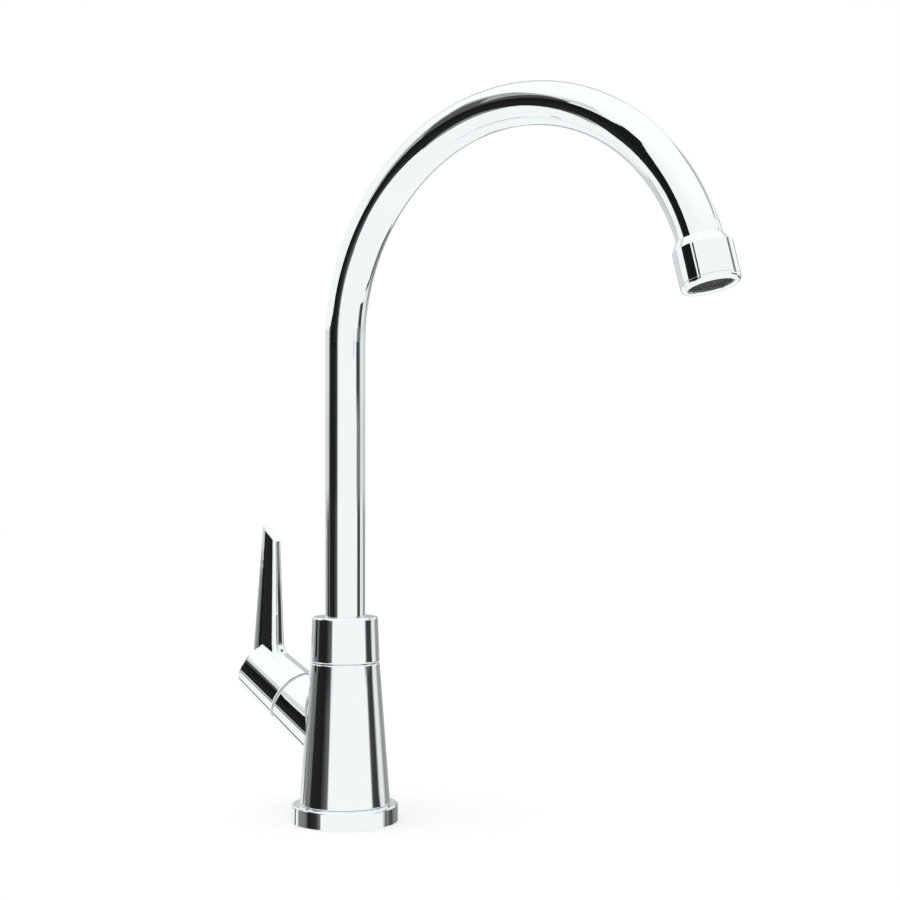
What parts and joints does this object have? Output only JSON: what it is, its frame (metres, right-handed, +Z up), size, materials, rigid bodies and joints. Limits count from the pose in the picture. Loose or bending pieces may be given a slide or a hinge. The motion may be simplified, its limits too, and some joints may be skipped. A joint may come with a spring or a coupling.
{
  "type": "cold water tap",
  "caption": "Swan-neck sink tap: tapered column on a round base, swivelling bent tube spout with an aerator nozzle, and an upright lever on an inclined side valve.",
  "frame": {"origin": "where the column's axis meets the deck that the base stands on", "axes": "+Z up along the column, +X along the spout as pictured, with the lever on -X"},
  "size_m": [0.2884, 0.0528, 0.3517],
  "materials": {
    "polished_chrome": "mirror polished chrome plate",
    "turned_brass": "turned, bare",
    "stainless_steel": "drawn wire and strip",
    "black_rubber": "moulded",
    "white_nylon": "moulded",
    "white_ceramic": "lapped alumina",
    "grey_plastic": "moulded"
  },
  "bodies": {
    "column": {"tap_body": "polished_chrome", "base_flange": "polished_chrome", "base_gasket": "black_rubber", "collar_nut": "polished_chrome", "lower_slip_washer": "white_nylon", "upper_slip_washer": "white_nylon", "valve_housing": "turned_brass", "valve_gasket": "black_rubber", "seat_seal": "black_rubber", "fixed_disc": "white_ceramic", "thrust_washer": "white_nylon", "handle_ring": "white_nylon"},
    "spout": {"spout_tube": "polished_chrome", "spout_spigot": "turned_brass", "spout_o_rings": "black_rubber", "spout_nozzle": "polished_chrome", "aerator_gasket": "black_rubber", "aerator_shell": "polished_chrome", "aerator_sieve": "white_nylon", "aerator_diffuser": "white_nylon", "aerator_screens": "stainless_steel"},
    "lever": {"lever_handle": "polished_chrome", "spindle": "turned_brass", "spindle_o_rings": "black_rubber", "spindle_circlip": "stainless_steel", "moving_disc": "white_ceramic", "handle_screw": "stainless_steel", "screw_plug": "grey_plastic"}
  },
  "joints": [
    {"name": "spout_swivel", "type": "hinge", "parent": "column", "child": "spout", "pos_m": [0, 0, 0.08], "axis": [0, 0, 1], "continuous": true},
    {"name": "lever_turn", "type": "hinge", "parent": "column", "child": "lever", "pos_m": [0, 0, 0.038], "axis": [-0.866, 0, 0.5], "range_deg": [0, 90]}
  ]
}
